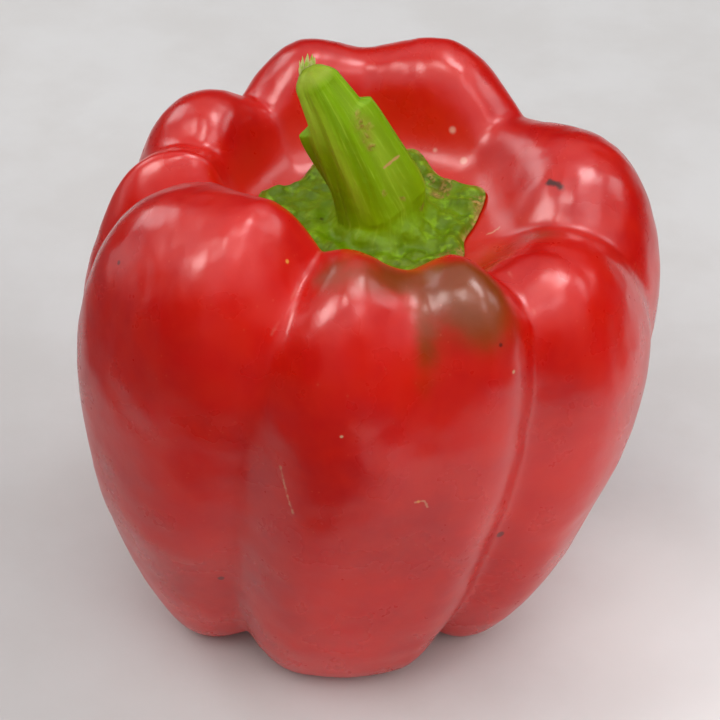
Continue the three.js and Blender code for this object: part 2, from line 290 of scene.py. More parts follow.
# Fruit: relief of its skin, which fades out under the calyx. The pleats are on the shoulder alone.
UNDULATION = {"wavelengths": (15, 32), "count": 14, "seed": 1}
UNDULATION_HEIGHT = 0.25
RIPPLE = {"wavelengths": (4, 9), "count": 24, "seed": 2}
RIPPLE_HEIGHT = 0.035
PLEATS = {"wavelengths": (1.6, 5), "count": 30, "seed": 3}
PLEAT_HEIGHT = 0.03
PLEAT_STRETCH = 0.12
PLEATS_IN = (2.5, 3.5)
PLEATS_OUT = (7.5, 5)
CALYX_DOWN = 2

# Shallow bulges and dents: azimuth, down, reach in degrees and in spans, and height in millimetres
SWELLS = [
    (287, 4.6, 7, 0.6, 0.8),
    (226, 8.0, 20, 0.55, 1.2),
    (228, 6.9, 18, 0.4, -0.45),
    (318, 7.7, 13, 0.45, 0.7),
    (318, 6.7, 13, 0.4, -0.25),
]

# Unripe patches: azimuth, down, reach in degrees and in spans, and strength
UNRIPE = [
    (257.5, 4.5, 5, 0.5, 0.45),
    (263, 4.4, 7, 0.5, 0.45),
    (271, 4.3, 8, 0.5, 0.5),
    (280, 4.1, 8, 0.5, 0.85),
    (291, 4.5, 8, 0.75, 1.0),
    (296, 4.95, 6, 0.55, 0.7),
    (281.6, 5.3, 3.5, 0.65, 0.75),
    (337, 3.4, 9, 0.7, 0.7),
    (246, 3.45, 6, 0.35, 0.35),
]


def patch_across(azimuths, at, reach):
    return np.exp(-((angle_between(azimuths, at) / reach) ** 2))


def patch(azimuths, downs, at, down, reach, spans):
    """A soft patch that is 1 in its middle."""
    return np.exp(-(((downs - down) / spans) ** 2))[:, None] * patch_across(azimuths, at, reach)


def skin_relief(rows, azimuths, downs):
    """How far the skin stands above or below the smooth surface."""
    undulation = UNDULATION_HEIGHT * waves(rows, **UNDULATION)
    ripple = RIPPLE_HEIGHT * waves(rows, **RIPPLE)
    shoulder = fade(downs, *PLEATS_IN) * fade(downs, *PLEATS_OUT)
    pleats = PLEAT_HEIGHT * waves(rows * (1, 1, PLEAT_STRETCH), **PLEATS) * shoulder[:, None]
    relief = undulation + ripple + pleats
    for at, down, reach, spans, height in SWELLS:
        relief += height * patch(azimuths, downs, at, down, reach, spans)
    return relief * ease(downs - CALYX_DOWN)[:, None]


def unripe_share(azimuths, downs):
    total = np.zeros((len(downs), len(azimuths)))
    for at, down, reach, spans, strength in UNRIPE:
        total += strength * patch(azimuths, downs, at, down, reach, spans)
    return np.clip(total, 0, 1)


def make_fruit():
    azimuths = circle(FRUIT_SIDES)
    downs = np.linspace(0, SPANS, FRUIT_ROWS)
    controls = meridians(azimuths)
    rows = np.array([place(azimuths, *spline_at(controls, down).T) for down in downs])
    rows += row_normals(rows) * skin_relief(rows, azimuths, downs)[:, :, None]
    rows[:, :, 2] = np.maximum(rows[:, :, 2], 0)
    values = {
        "down": np.repeat(downs[:, None], len(azimuths), axis=1),
        "unripe": unripe_share(azimuths, downs),
        "grain": rows * (1, 1, PLEAT_STRETCH) * MM,
    }
    rows = in_frame(rows)
    return closed_mesh("fruit_skin", rows, values), rows


def skin_point(rows, azimuth, down):
    """The point of the fruit's mesh closest to an azimuth and a place down the skin."""
    row = round(down / SPANS * (FRUIT_ROWS - 1))
    side = round(azimuth / 360 * FRUIT_SIDES) % FRUIT_SIDES
    return Vector(rows[row, side])


# Stalk: its smooth surface

def calyx_radius(azimuths):
    """Radius of the star-shaped edge."""
    centres, radii = np.array(CALYX_CORNERS, float).T
    corner = weights_at(azimuths, centres, CALYX_FOCUS) @ radii
    closest = np.abs(angle_between(azimuths[:, None], centres)).min(axis=1)
    return corner - BAY_DEPTH * (1 - np.exp(CORNER_FOCUS * (np.cos(np.radians(closest)) - 1)))


def seat_height(controls, radius):
    """Height of the fruit's surface under the calyx at each azimuth, found by halving in the crown."""
    inner = np.zeros(controls.shape[1])
    outer = np.full(controls.shape[1], SEAT_SEARCH_END)
    for _ in range(SEAT_SEARCH_STEPS):
        middle = (inner + outer) / 2
        short = spline_at(controls, middle)[:, 0] < radius
        inner = np.where(short, middle, inner)
        outer = np.where(short, outer, middle)
    return spline_at(controls, inner)[:, 1]


def calyx_row(azimuths, controls, share, thickness):
    radius = calyx_radius(azimuths) * share
    return place(azimuths, radius, seat_height(controls, radius) + SEAT_GAP + thickness)


def calyx_top_row(azimuths, controls, share):
    flange = EDGE_THICKNESS + (CALYX_THICKNESS - EDGE_THICKNESS) * ease((1 - share) / EDGE_WIDTH)
    row = calyx_row(azimuths, controls, share, flange)
    inside = DISC_RADIUS - np.hypot(row[:, 0] - DISC_CENTRE[0], row[:, 1] - DISC_CENTRE[1])
    row[:, 2] += DISC_HEIGHT * ease(inside / DISC_STEP_WIDTH)
    return row


def path_at(points, share):
    """Catmull-Rom curve through points: its place and its slope at a share of the way."""
    points = np.array(points, float)
    ends = 2 * points[[0, -1]] - points[[1, -2]]
    points = np.vstack([ends[:1], points, ends[1:]])
    spans = len(points) - 3
    span = min(int(share * spans), spans - 1)
    f = share * spans - span
    a, b, c, d = points[span : span + 4]
    at = b + 0.5 * f * (c - a + f * (2 * a - 5 * b + 4 * c - d + f * (3 * b - 3 * c + d - a)))
    slope = 0.5 * (c - a) + f * (2 * a - 5 * b + 4 * c - d) + 1.5 * f * f * (3 * b - 3 * c + d - a)
    return at, slope


def stem_radius(azimuths, share):
    ribs = sum(depth * np.cos(np.radians(count * azimuths + turn)) for count, turn, depth in STEM_RIBS)
    radius = np.interp(share * (len(STEM_RADII) - 1), range(len(STEM_RADII)), STEM_RADII) * (1 + ribs)
    for at, root, crest, end, height, width in SHEATHS:
        across = np.exp(-((angle_between(azimuths, at) / width) ** 2))
        radius += height * across * ease((share - root) / (crest - root)) * ease((end - share) / SHEATH_END)
    return radius


def stem_row(azimuths, share, scale=1, lift=0):
    centre, slope = path_at(STEM_PATH, share)
    along = slope / np.linalg.norm(slope)
    across = np.array([1, 0, 0]) - along * along[0]
    across /= np.linalg.norm(across)
    aside = np.cross(along, across)
    radius = scale * stem_radius(azimuths, share)
    angle = np.radians(azimuths)
    out = across * np.cos(angle)[:, None] + aside * np.sin(angle)[:, None]
    return centre + out * radius[:, None] + along * lift


def flare_row(azimuths, controls, s):
    """From the calyx's top at s = 0 to the stem's foot at s = 1."""
    calyx = calyx_top_row(azimuths, controls, EDGE_SHARE + (FLARE_SHARE - EDGE_SHARE) * s)
    stem = stem_row(azimuths, STEM_ROOT + (STEM_FOOT - STEM_ROOT) * s)
    blend = ease((s - FLARE_START) / (1 - FLARE_START))
    return calyx + (stem - calyx) * blend


def edge_row(azimuths, controls, s):
    """The rounded edge, from the top at s = 0 to the underside at s = 1."""
    top = calyx_top_row(azimuths, controls, EDGE_SHARE)
    tip = calyx_row(azimuths, controls, 1, EDGE_THICKNESS)
    under = calyx_row(azimuths, controls, EDGE_SHARE, 0)
    return (1 - s) ** 2 * top + 2 * s * (1 - s) * tip + s**2 * under


# Stalk: bumps of the flange, the fold that runs round one side of the stem's foot with a valley behind
# it, and the fibres of the stem
FLANGE_BUMPS = {"wavelengths": (2.4, 5.5), "count": 30, "seed": 5}
FLANGE_BUMP_HEIGHT = 0.42
FLANGE_GRAIN = {"wavelengths": (0.8, 1.8), "count": 40, "seed": 6}
FLANGE_GRAIN_HEIGHT = 0.07
FOLD_SIDE = (212, 58)
FOLD_RADIUS = 10.6
FOLD_HEIGHT = 0.6
FOLD_WIDTH = 1.1
VALLEY_RADIUS = 8.6
VALLEY_DEPTH = 0.9
VALLEY_WIDTH = 0.9
STEM_FLUTES = {"wavelengths": (1.6, 4), "count": 30, "seed": 7}
STEM_FLUTE_HEIGHT = 0.1
STEM_FIBRES = {"wavelengths": (0.5, 1.2), "count": 50, "seed": 8}
STEM_FIBRE_HEIGHT = 0.03
FIBRE_STRETCH = 0.07
GRAIN_RADIUS = 5
CUT_FADE = 1.5
CUT_SMOOTHING = 0.8

# Shares of the stem's length between which the flange's relief gives way to the stem's
STEM_RELIEF_IN = (0.11, 0.22)

# Bands along the stem, light where they stand out and dark where they lie back, with painted sheen on the
# light ones and painted shade on the dark ones: azimuth and width, share of the stem's length and reach in
# it, and tone
STEM_SHADING_BANDS = [
    (222, 26, 0.92, 0.2, 0.75), (200, 14, 0.45, 0.28, -0.5), (228, 14, 0.42, 0.22, -0.5),
    (258, 11, 0.6, 0.35, 0.35), (283, 8, 0.6, 0.3, -0.45), (325, 16, 0.65, 0.3, 0.35),
]
BANDS_IN = (0.15, 0.35)
BAND_HEIGHT = 0.25


def stalk_rows(azimuths, controls):
    """Rows from the cut end down to the middle of the underside. Each comes with its share of the
    stem's length, of the calyx's radius and of the way into the cut end."""
    rows = []
    for s in np.linspace(1, 0, CUT_ROWS, endpoint=False):
        rows.append((stem_row(azimuths, 1, math.sqrt(1 - s**2), CUT_DOME * s), 1, 0, s))
    for s in np.linspace(1, 0, STEM_ROWS, endpoint=False):
        share = STEM_FOOT + (1 - STEM_FOOT) * s
        rows.append((stem_row(azimuths, share), share, 0, 0))
    for s in np.linspace(1, 0, FLARE_ROWS, endpoint=False):
        rim = EDGE_SHARE + (FLARE_SHARE - EDGE_SHARE) * s
        rows.append((flare_row(azimuths, controls, s), STEM_FOOT * s, rim, 0))
    for s in np.linspace(0, 1, EDGE_ROWS, endpoint=False):
        rows.append((edge_row(azimuths, controls, s), 0, 1, 0))
    for s in np.linspace(1, 0, UNDERSIDE_ROWS):
        rows.append((calyx_row(azimuths, controls, EDGE_SHARE * s, 0), 0, s, 0))
    return rows


def stalk_grain(azimuths, rows):
    """Places in which the fibres run straight up, so that noise on them is drawn out lengthwise."""
    steps = np.linalg.norm(np.diff(rows, axis=0), axis=2).mean(axis=1)
    along = np.concatenate([[0], np.cumsum(steps)]) * FIBRE_STRETCH
    angle = np.radians(azimuths)
    ring = GRAIN_RADIUS * np.stack([np.cos(angle), np.sin(angle), 0 * angle], axis=1)
    return ring[None] + along[:, None, None] * (0, 0, 1)


def stem_shading(azimuths, stem):
    """Painted sheen and painted shade along the bands, from -1 to 1, fading out towards the stem's foot."""
    total = np.zeros((len(stem), len(azimuths)))
    for at, width, middle, reach, shading in STEM_SHADING_BANDS:
        total += shading * patch(azimuths, stem, at, middle, width, reach)
    return total * fade(stem, *BANDS_IN)[:, None]


def ring_share(rows, radius, width):
    """1 along a ring round the stem's foot, fading out to either side and away from the fold's side."""
    x = rows[:, :, 0] - DISC_CENTRE[0]
    y = rows[:, :, 1] - DISC_CENTRE[1]
    across = np.exp(-(((np.hypot(x, y) - radius) / width) ** 2))
    return across * patch_across(np.degrees(np.arctan2(y, x)), *FOLD_SIDE)


def stalk_relief(rows, grain, shading, stem, top):
    """How far the stalk's skin stands above or below its smooth surface."""
    on_stem = fade(stem, *STEM_RELIEF_IN)[:, None]
    bumps = FLANGE_BUMP_HEIGHT * waves(rows, **FLANGE_BUMPS)
    bumps += FLANGE_GRAIN_HEIGHT * waves(rows, **FLANGE_GRAIN)
    bumps += FOLD_HEIGHT * ring_share(rows, FOLD_RADIUS, FOLD_WIDTH)
    bumps -= VALLEY_DEPTH * ring_share(rows, VALLEY_RADIUS, VALLEY_WIDTH)
    flutes = STEM_FLUTE_HEIGHT * waves(grain, **STEM_FLUTES)
    flutes += STEM_FIBRE_HEIGHT * waves(grain, **STEM_FIBRES)
    flutes += BAND_HEIGHT * shading
    return (bumps * (1 - on_stem) + flutes * on_stem) * top[:, None]


def make_stalk():
    azimuths = circle(STALK_SIDES)
    rows, stem, rim, cut = zip(*stalk_rows(azimuths, meridians(azimuths)))
    rows = np.array(rows)
    stem, rim, cut = np.array(stem), np.array(rim), np.array(cut)
    grain = stalk_grain(azimuths, rows)
    edge = len(rows) - UNDERSIDE_ROWS - EDGE_ROWS
    top = ease((edge - np.arange(len(rows))) / EDGE_FADE_ROWS) * (1 - CUT_SMOOTHING * ease(cut * CUT_FADE))
    shading = stem_shading(azimuths, stem)
    rows = rows + row_normals(rows) * stalk_relief(rows, grain, shading, stem, top)[:, :, None]
    spread = np.ones(len(azimuths))
    values = {
        "shading": shading,
        "stem": stem[:, None] * spread,
        "rim": rim[:, None] * spread,
        "cut": cut[:, None] * spread,
        "grain": grain * MM,
        # Share of the valley behind the fold, for the painted shade along it
        "valley": ring_share(rows, VALLEY_RADIUS, VALLEY_WIDTH),
    }
    return closed_mesh("stalk_skin", in_frame(rows), values)


# Fibres left standing at the back of the cut: azimuth, height, width and sideways lean of each
FIBRES = [
    (84, 1.5, 0.6, 0.2), (96, 2.2, 0.6, 0.25), (108, 2.5, 0.6, -0.1), (120, 2.3, 0.6, 0.15),
    (132, 2.6, 0.6, -0.1), (144, 2.2, 0.65, 0.0), (156, 2.4, 0.55, -0.2), (168, 1.4, 0.6, -0.3),
]
FIBRE_ROOT = 0.6
FIBRE_SINK = 0.4
FIBRE_THICKNESS = 0.5
FIBRE_SIDES = 7
FIBRE_ROWS = 9


def make_fibre(azimuth, height, width, lean):
    """A tapered sliver that stands on the cut end's rim, with its thickness a share of its width."""
    height_of_cut = CUT_DOME * math.sqrt(1 - FIBRE_ROOT**2)
    foot = stem_row(np.array([float(azimuth)]), 1, FIBRE_ROOT, height_of_cut - FIBRE_SINK)[0]
    angle = np.radians(circle(FIBRE_SIDES))
    turn = math.radians(azimuth + 90)
    rows = []
    for s in np.linspace(1, 0, FIBRE_ROWS):
        size = width / 2 * (1 - s**3)
        wide = size * np.cos(angle)
        deep = FIBRE_THICKNESS * size * np.sin(angle)
        x = wide * math.cos(turn) - deep * math.sin(turn) + lean * s
        y = wide * math.sin(turn) + deep * math.cos(turn)
        rows.append(foot + np.stack([x, y, (height + FIBRE_SINK) * s + 0 * x], axis=1))
    return rows


def make_fibres():
    """All the fibres as one piece."""
    points = []
    faces = []
    for fibre in FIBRES:
        start = len(points)
        rows = make_fibre(*fibre)
        for row in rows:
            points.extend(in_frame(row))
        for row in range(FIBRE_ROWS - 1):
            high = start + row * FIBRE_SIDES
            low = high + FIBRE_SIDES
            for side in range(FIBRE_SIDES):
                after = (side + 1) % FIBRE_SIDES
                faces.append((high + side, low + side, low + after, high + after))
        faces.append(tuple(range(len(points) - 1, len(points) - 1 - FIBRE_SIDES, -1)))
    mesh = bpy.data.meshes.new("stem_fibres")
    mesh.from_pydata([tuple(point) for point in points], [], faces)
    mesh.shade_smooth()
    piece = bpy.data.objects.new("stem_fibres", mesh)
    bpy.context.scene.collection.objects.link(piece)
    return piece


# Materials: small steps that each add shader nodes and return a socket

def srgb(red, green, blue):
    """A colour as seen on a screen, 0 to 255, in the linear values that shaders take."""
    return tuple((value / 255) ** 2.2 for value in (red, green, blue)) + (1,)


def set_socket(tree, socket, value):
    """Give a socket a constant, or link it to another node's output."""
    if isinstance(value, bpy.types.NodeSocket):
        tree.links.new(value, socket)
    else:
        socket.default_value = value


def add_node(tree, kind, inputs, output, **settings):
    """Add a node with its inputs and settings, and return one of its outputs."""
    node = tree.nodes.new(kind)
    for key, value in settings.items():
        setattr(node, key, value)
    for key, value in inputs.items():
        set_socket(tree, node.inputs[key], value)
    return node.outputs[output]


class Look:
    """One material, with its Principled surface and its node tree."""

    def __init__(self, name):
        self.material = bpy.data.materials.new(name)
        self.material.use_nodes = True
        self.tree = self.material.node_tree
        self.surface = self.tree.nodes["Principled BSDF"]
        self.place = self.node("ShaderNodeTexCoord", {}, "Object")

    def node(self, kind, inputs, output, **settings):
        return add_node(self.tree, kind, inputs, output, **settings)

    def attribute(self, name, output="Fac"):
        return self.node("ShaderNodeAttribute", {}, output, attribute_name=name)

    def noise(self, size, detail=3, roughness=0.55, place=None, offset=0.0):
        """Cloudy noise of 0 to 1, mostly around 0.5, with features of a size in millimetres."""
        where = place or self.place
        if offset:
            where = self.node("ShaderNodeVectorMath", {0: where, 1: (offset, offset, offset)}, 0)
        inputs = {"Vector": where, "Scale": 1000 / size, "Detail": detail, "Roughness": roughness}
        return self.node("ShaderNodeTexNoise", inputs, "Fac")

    def dots(self, spacing, radius, offset=0.0):
        """1 at round dots and 0 between them, with one dot in each cell of a spacing, in millimetres."""
        where = self.node("ShaderNodeVectorMath", {0: self.place, 1: (offset, offset, offset)}, 0)
        distance = self.node("ShaderNodeTexVoronoi", {"Vector": where, "Scale": 1000 / spacing}, "Distance")
        return self.steps(distance, radius / spacing, 0.6 * radius / spacing)

    def steps(self, value, low, high, to_low=0.0, to_high=1.0):
        """A smooth step from one value to another."""
        inputs = {"Value": value, "From Min": low, "From Max": high, "To Min": to_low, "To Max": to_high}
        return self.node("ShaderNodeMapRange", inputs, 0, interpolation_type="SMOOTHSTEP")

    def math(self, operation, first, second=0.0, clamp=False):
        inputs = {0: first, 1: second}
        return self.node("ShaderNodeMath", inputs, 0, operation=operation, use_clamp=clamp)

    def vector(self, operation, first, second):
        """One number from two vectors, such as the distance between them."""
        return self.node("ShaderNodeVectorMath", {0: first, 1: second}, "Value", operation=operation)

    def times(self, *values):
        product = values[0]
        for value in values[1:]:
            product = self.math("MULTIPLY", product, value)
        return product

    def mix(self, share, under, over):
        """One colour over another."""
        inputs = {0: share, 6: under, 7: over}
        return self.node("ShaderNodeMix", inputs, 2, data_type="RGBA")

    def inside(self, distance, softness, wobble, size):
        """1 where a distance is below 0 and 0 where it is above, with an uneven edge."""
        uneven = self.times(self.math("SUBTRACT", self.noise(size, 4), 0.5), 2 * wobble * MM)
        return self.steps(self.math("ADD", distance, uneven), softness * MM, -softness * MM)

    def spots(self, places, softness=0.15, wobble=0.0, size=1.0):
        """1 in any of several round spots, each a point and a radius in millimetres."""
        nearest = 1.0
        for point, radius in places:
            away = self.vector("DISTANCE", self.place, point)
            nearest = self.math("MINIMUM", nearest, self.math("SUBTRACT", away, radius * MM))
        return self.inside(nearest, softness, wobble, size)

    def line(self, points, width, softness=0.1, wobble=0.0, size=1.0):
        """1 along the straight lines from point to point, with a width in millimetres."""
        nearest = 1.0
        for start, end in zip(points, points[1:]):
            along = end - start
            inputs = {0: self.place, 1: start}
            from_start = self.node("ShaderNodeVectorMath", inputs, 0, operation="SUBTRACT")
            share = self.vector("DOT_PRODUCT", from_start, along / along.length_squared)
            share = self.math("ADD", share, 0.0, clamp=True)
            reach = self.node("ShaderNodeVectorMath", {0: along, "Scale": share}, 0, operation="SCALE")
            nearest = self.math("MINIMUM", nearest, self.vector("DISTANCE", from_start, reach))
        return self.inside(self.math("SUBTRACT", nearest, width / 2 * MM), softness, wobble, size)

    def bumps(self, *layers):
        """Surface normal with layers of relief, each a height of 0 to 1 and its size in millimetres."""
        normal = None
        for height, size in layers:
            inputs = {"Height": height, "Distance": size * MM, "Strength": 1.0}
            if normal:
                inputs["Normal"] = normal
            normal = self.node("ShaderNodeBump", inputs, "Normal")
        set_socket(self.tree, self.surface.inputs["Normal"], normal)

    def finish(self, piece, **values):
        for key, value in values.items():
            set_socket(self.tree, self.surface.inputs[key.replace("_", " ")], value)
        piece.data.materials.append(self.material)


# Skin of the fruit: colours, and its marks by azimuth and down, with sizes in millimetres
RED = srgb(206, 20, 8)
DEEP_RED = srgb(184, 10, 4)
BRIGHT_RED = srgb(216, 40, 6)
OLIVE_BROWN = srgb(152, 54, 0)
OLIVE = srgb(130, 58, 0)
PORE = srgb(226, 110, 80)
PINK = srgb(222, 120, 104)
TAN = srgb(214, 178, 140)
BLISTER = srgb(230, 160, 140)
GOLD = srgb(226, 160, 70)
CHAR = srgb(58, 18, 14)
PALE_SPECKS = [(298.2, 5.73, 0.25), (266, 6.35, 0.22)]
BLISTERS = [(52.7, 2.64, 0.5), (42.7, 2.3, 0.5), (56.9, 2.15, 0.25)]
GOLD_SPECKS = [(247.9, 4.53, 0.28), (281, 7.07, 0.2)]
DARK_SPECKS = [(214.9, 5.48, 0.32), (295.9, 5.43, 0.28), (239, 8.58, 0.5), (302.9, 7.97, 0.6)]
CREASE_LINES = [
    [(253, 3.6), (252.5, 3.79), (251.5, 4.86), (249.8, 5.52)],
    [(312.5, 3.99), (309.5, 4.88)],
]
SCRATCHES = [
    [(254.2, 6.8), (255.6, 7.0), (257.5, 7.26)],
    [(280.3, 7.06), (281.8, 7.04), (282.4, 7.12)],
    [(352, 2.25), (350.5, 2.1), (350, 1.95)],
]
DARK_SCAR = [(356.6, 3.86), (357.8, 3.74), (359, 3.58)]


def skin_colour(look):
    clouds = look.steps(look.noise(26, 2), 0.35, 0.65)
    mottles = look.steps(look.noise(5, 4, offset=0.3), 0.3, 0.7)
    colour = look.mix(clouds, RED, DEEP_RED)
    colour = look.mix(look.times(mottles, 0.35), colour, BRIGHT_RED)
    near_calyx = look.steps(look.attribute("down"), 3.2, 2.0)
    colour = look.mix(look.times(near_calyx, 0.5), colour, BRIGHT_RED)
    unripe = look.attribute("unripe")
    uneven = look.times(look.math("SUBTRACT", look.noise(8, 4), 0.5), look.steps(unripe, 0.05, 0.4), 1.1)
    unripe = look.math("ADD", unripe, uneven)
    colour = look.mix(look.steps(unripe, 0.1, 0.95), colour, OLIVE_BROWN)
    colour = look.mix(look.steps(unripe, 0.5, 1.2), colour, OLIVE)
    pores = look.times(look.dots(1.9, 0.22), look.steps(look.noise(6, 2, offset=0.1), 0.3, 0.7))
    return look.mix(look.times(pores, 0.22), colour, PORE)


def skin_marks(look, rows, colour):
    """The few specks, scratches and scars of this one fruit, over its colour."""
    def at(marks):
        return [(skin_point(rows, azimuth, down), radius) for azimuth, down, radius in marks]

    def along(marks):
        return [skin_point(rows, azimuth, down) for azimuth, down in marks]

    for marks in CREASE_LINES:
        crease = look.line(along(marks), width=0.3, softness=0.3, wobble=0.3)
        colour = look.mix(look.times(crease, 0.4), colour, PINK)
    colour = look.mix(look.times(look.spots(at(PALE_SPECKS), wobble=0.1), 0.75), colour, TAN)
    colour = look.mix(look.times(look.spots(at(BLISTERS), softness=0.3, wobble=0.1), 0.75), colour, BLISTER)
    colour = look.mix(look.times(look.spots(at(GOLD_SPECKS), wobble=0.1), 0.8), colour, GOLD)
    colour = look.mix(look.times(look.spots(at(DARK_SPECKS), wobble=0.15), 0.75), colour, CHAR)
    for marks in SCRATCHES:
        scratch = look.line(along(marks), width=0.2, softness=0.15, wobble=0.45, size=0.7)
        colour = look.mix(look.times(scratch, 0.5), colour, TAN)
    scar = look.line(along(DARK_SCAR), width=0.9, softness=0.3, wobble=0.5, size=0.9)
    return look.mix(look.times(scar, 0.95), colour, CHAR)


def make_skin(piece, rows):
    look = Look("pepper_skin")
    colour = skin_marks(look, rows, skin_colour(look))
    streaks = look.noise(0.5, 4, place=look.attribute("grain", "Vector"))
    undulation = look.noise(2.2, 2, offset=0.2)
    look.bumps((undulation, 0.05), (streaks, 0.012))
    look.finish(
        piece,
        Base_Color=colour,
        Roughness=look.steps(look.noise(9, 4, offset=0.4), 0.3, 0.7, 0.25, 0.34),
        Subsurface_Weight=0.12,
        Subsurface_Radius=(1.0, 0.25, 0.12),
        Subsurface_Scale=0.004,
        Coat_Weight=0.15,
        Coat_Roughness=0.2,
    )


# Skin of the stalk: colours, and its corky patches and flecks by place and radius in millimetres
# STEM_LIGHT is both the pale of the fibres and the painted sheen of the light bands, and STEM_DARK both the
# dark of the grain and the painted shade of the dark bands
STEM_GREEN = srgb(126, 168, 0)
STEM_LIGHT = srgb(170, 202, 62)
STEM_DARK = srgb(98, 128, 0)
CALYX_GREEN = srgb(104, 132, 0)
CALYX_DARK = srgb(60, 84, 0)
CALYX_LIGHT = srgb(138, 178, 36)
CORK = srgb(184, 150, 88)
CORK_BROWN = srgb(142, 112, 50)
BARK = srgb(70, 56, 16)
CUT_GREEN = srgb(150, 164, 48)
CUT_BROWN = srgb(164, 128, 50)
FIBRE_PALE = srgb(214, 208, 140)
CORK_SPOTS = [
    (-2.1, 0.8, 85.4, 0.6), (-1.5, 0.2, 83.8, 0.8), (-0.4, 0.7, 83.1, 0.6), (-2.6, -0.9, 83.5, 0.5),
    (-0.9, -0.4, 81.8, 0.6), (-0.1, -0.4, 80.1, 0.5), (1.7, -2, 73.3, 0.4), (4.3, -0.6, 71.6, 0.4),
    (7.3, 1.6, 68.3, 0.45), (10.8, 11.2, 66, 1.3), (10.2, 9.3, 65.2, 1.2), (8.7, 13.1, 65.5, 0.8),
    (12.4, 13.9, 65, 1.1), (15.7, 6.4, 66.1, 1.2), (16, 4.4, 64.9, 1.2), (14.6, 0.1, 64.4, 0.9),
    (13, -5.5, 65.1, 1.2), (10.3, -6.5, 65.8, 1.2),
]
BARK_SPOTS = [(-2.2, -0.4, 84.6, 0.3), (-1.6, -0.3, 82.8, 0.3), (-7.4, 3, 65.6, 0.4)]
STAINS = [(-1.5, 0.2, 83.8, 1.0), (-0.6, -0.2, 81.6, 0.9), (10, 10.5, 65.5, 1.4), (15.5, 5.2, 65.2, 1.0)]
CORK_SCAR = [(1.7, -0.5, 76.7), (3.7, 1.4, 77.5)]
CUT_SPOT = [(-8.6, 3, 89.7, 0.6)]


def placed(spots):
    return [(Vector(place) * MM, radius) for *place, radius in spots]


def stem_colour(look, fibres):
    bands = look.steps(look.noise(2.6, 2, place=look.attribute("grain", "Vector")), 0.3, 0.7)
    colour = look.mix(look.times(bands, 0.55), STEM_GREEN, STEM_DARK)
    shading = look.attribute("shading")
    # Painted sheen where the bands are above 0 and painted shade where they are below
    colour = look.mix(look.math("MAXIMUM", shading, 0.0), colour, STEM_LIGHT)
    colour = look.mix(look.math("MAXIMUM", look.times(shading, -1.0), 0.0), colour, STEM_DARK)
    return look.mix(look.times(look.steps(fibres, 0.5, 0.75), 0.35), colour, STEM_LIGHT)


def calyx_colour(look):
    blotches = look.steps(look.noise(2.4, 4, offset=0.1), 0.36, 0.64)
    colour = look.mix(look.steps(blotches, 0.0, 1.0, 0.6, 1.0), CALYX_DARK, CALYX_GREEN)
    flecks = look.steps(look.noise(1.8, 4, offset=0.5), 0.52, 0.72)
    colour = look.mix(look.times(flecks, 0.8), colour, CALYX_LIGHT)
    # Painted shade: darker in the valley behind the fold round the stem's foot
    colour = look.mix(look.times(look.attribute("valley"), 0.8), colour, CALYX_DARK)
    edge = look.steps(look.attribute("rim"), 0.92, 1.0)
    crumbs = look.steps(look.noise(1.6, 4, offset=0.7), 0.4, 0.56)
    return look.mix(look.times(edge, crumbs, 0.7), colour, CORK)


def cork_share(look):
    """1 in the crumbs of the corky patches and 0 between them."""
    patches = look.spots(placed(CORK_SPOTS), softness=0.5, wobble=0.8, size=1.3)
    return look.times(patches, look.steps(look.noise(0.8, 5, offset=0.9), 0.42, 0.56))


def make_stalk_look(piece):
    look = Look("pepper_stalk")
    fibres = look.noise(0.5, 3, place=look.attribute("grain", "Vector"), offset=0.2)
    on_stem = look.steps(look.attribute("stem"), 0.08, 0.22)
    colour = look.mix(on_stem, calyx_colour(look), stem_colour(look, fibres))
    cork = cork_share(look)
    corky = look.mix(look.steps(look.noise(1.1, 4, offset=0.4), 0.4, 0.62), CORK_BROWN, CORK)
    stains = look.spots(placed(STAINS), softness=1.2, wobble=1.0)
    colour = look.mix(look.times(stains, 0.45), colour, CORK_BROWN)
    colour = look.mix(look.times(cork, 0.85), colour, corky)
    scar = look.line([Vector(place) * MM for place in CORK_SCAR], width=0.45, wobble=0.2)
    colour = look.mix(scar, colour, CORK)
    colour = look.mix(look.times(look.spots(placed(BARK_SPOTS), wobble=0.3), 0.8), colour, BARK)
    colour = look.mix(look.times(look.steps(look.attribute("cut"), 0.1, 0.7), 0.7), colour, CUT_GREEN)
    cut_spot = look.spots(placed(CUT_SPOT), softness=0.4, wobble=0.4)
    colour = look.mix(look.times(cut_spot, 0.7), colour, CUT_BROWN)
    lumps = look.noise(1.3, 4, offset=0.3)
    look.bumps((lumps, 0.16), (look.times(fibres, on_stem), 0.04), (cork, 0.12))
    look.finish(
        piece,
        Base_Color=colour,
        Roughness=look.steps(look.noise(2, 3, offset=0.6), 0.3, 0.7, 0.4, 0.55),
        Specular_IOR_Level=0.14,
        Subsurface_Weight=0.12,
        Subsurface_Radius=(0.6, 1.0, 0.2),
        Subsurface_Scale=0.002,
    )


def make_fibre_look(piece):
    look = Look("pepper_fibre")
    colour = look.mix(look.steps(look.noise(0.6, 3), 0.4, 0.65), FIBRE_PALE, STEM_LIGHT)
    look.bumps((look.noise(0.3, 3), 0.03))
    look.finish(piece, Base_Color=colour, Roughness=0.6)


